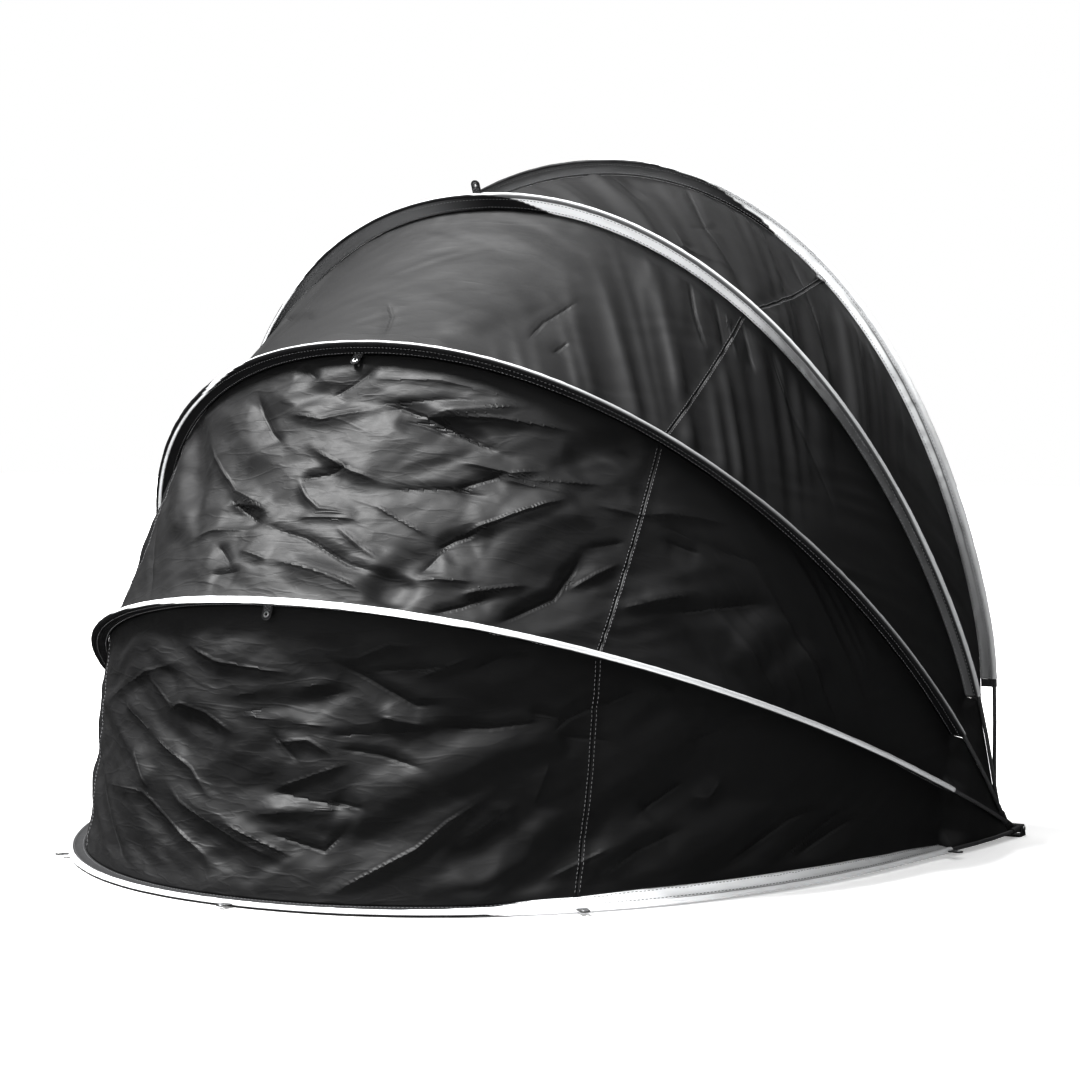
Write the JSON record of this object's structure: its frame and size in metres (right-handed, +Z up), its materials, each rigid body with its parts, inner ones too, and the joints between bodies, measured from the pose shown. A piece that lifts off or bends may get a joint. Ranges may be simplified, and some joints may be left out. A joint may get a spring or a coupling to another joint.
{
  "type": "folding storage tent",
  "caption": "Quarter-dome storage tent of black coated fabric on arched poles in pale sleeves, which all fold down about one hinge line onto a base ring.",
  "frame": {"origin": "under the middle of the part's bounding box, on the ground", "axes": "+X along the hinge line to the right, +Z up; the base ring reaches forward to -Y"},
  "size_m": [2.1856, 1.6286, 1.5928],
  "materials": {
    "canopy": "coated plain weave, dull sheen, creased",
    "sleeve": "pale grey woven tape",
    "webbing": "black woven webbing",
    "pole": "dark glass-fibre rod, satin",
    "moulding": "black moulded nylon",
    "steel": "plated steel"
  },
  "bodies": {
    "base_ring": {"base_ring_pole": "pole", "base_ring_sleeve": "sleeve", "base_ring_end_right": "moulding", "base_ring_end_left": "moulding", "base_ring_tab_right_end": "webbing", "base_ring_eyelet_right_end": "steel", "base_ring_tab_right": "webbing", "base_ring_eyelet_right": "steel", "base_ring_tab_front": "webbing", "base_ring_eyelet_front": "steel", "base_ring_tab_left": "webbing", "base_ring_eyelet_left": "steel", "base_ring_tab_left_end": "webbing", "base_ring_eyelet_left_end": "steel", "hinge_bracket_right": "moulding", "hinge_bracket_left": "moulding", "hinge_bolt_right": "steel", "hinge_bolt_left": "steel", "hinge_nut_right": "steel", "hinge_nut_left": "steel"},
    "hoop_1": {"hoop_1_pole": "pole", "hoop_1_sleeve": "sleeve", "hoop_1_end_right": "moulding", "hoop_1_end_left": "moulding", "canopy_front": "canopy", "hoop_1_tab": "webbing", "hoop_1_eyelet": "steel"},
    "hoop_2": {"hoop_2_pole": "pole", "hoop_2_sleeve": "sleeve", "hoop_2_end_right": "moulding", "hoop_2_end_left": "moulding", "canopy_lower": "canopy", "hoop_2_tab": "webbing", "hoop_2_eyelet": "steel"},
    "hoop_3": {"hoop_3_pole": "pole", "hoop_3_sleeve": "sleeve", "hoop_3_end_right": "moulding", "hoop_3_end_left": "moulding", "canopy_upper": "canopy", "hoop_3_tab": "webbing", "hoop_3_eyelet": "steel"},
    "rear_hoop": {"rear_hoop_pole": "pole", "rear_hoop_sleeve": "sleeve", "rear_hoop_end_right": "moulding", "rear_hoop_end_left": "moulding", "canopy_top": "canopy", "rear_hoop_tab_right": "webbing", "rear_hoop_eyelet_right": "steel", "rear_hoop_strap_right": "webbing", "rear_hoop_tab_left": "webbing", "rear_hoop_eyelet_left": "steel", "rear_hoop_strap_left": "webbing"}
  },
  "joints": [
    {"name": "hoop_1_fold", "type": "hinge", "parent": "base_ring", "child": "hoop_1", "pos_m": [0, 0.79239, 0.018], "axis": [1, 0, 0], "range_deg": [0, 19.4], "deforming": ["canopy_front"]},
    {"name": "hoop_2_fold", "type": "hinge", "parent": "hoop_1", "child": "hoop_2", "pos_m": [0, 0.79239, 0.018], "axis": [1, 0, 0], "range_deg": [0, 20.2], "deforming": ["canopy_lower"]},
    {"name": "hoop_3_fold", "type": "hinge", "parent": "hoop_2", "child": "hoop_3", "pos_m": [0, 0.79239, 0.018], "axis": [1, 0, 0], "range_deg": [0, 20.1], "deforming": ["canopy_upper"]},
    {"name": "rear_hoop_fold", "type": "hinge", "parent": "hoop_3", "child": "rear_hoop", "pos_m": [0, 0.79239, 0.018], "axis": [1, 0, 0], "range_deg": [0, 17.9], "deforming": ["canopy_top"]}
  ],
  "couplings": [
    {"joint": "hoop_2_fold", "follows": "hoop_1_fold", "ratio": 1.041},
    {"joint": "hoop_3_fold", "follows": "hoop_1_fold", "ratio": 1.036},
    {"joint": "rear_hoop_fold", "follows": "hoop_1_fold", "ratio": 0.9226}
  ]
}
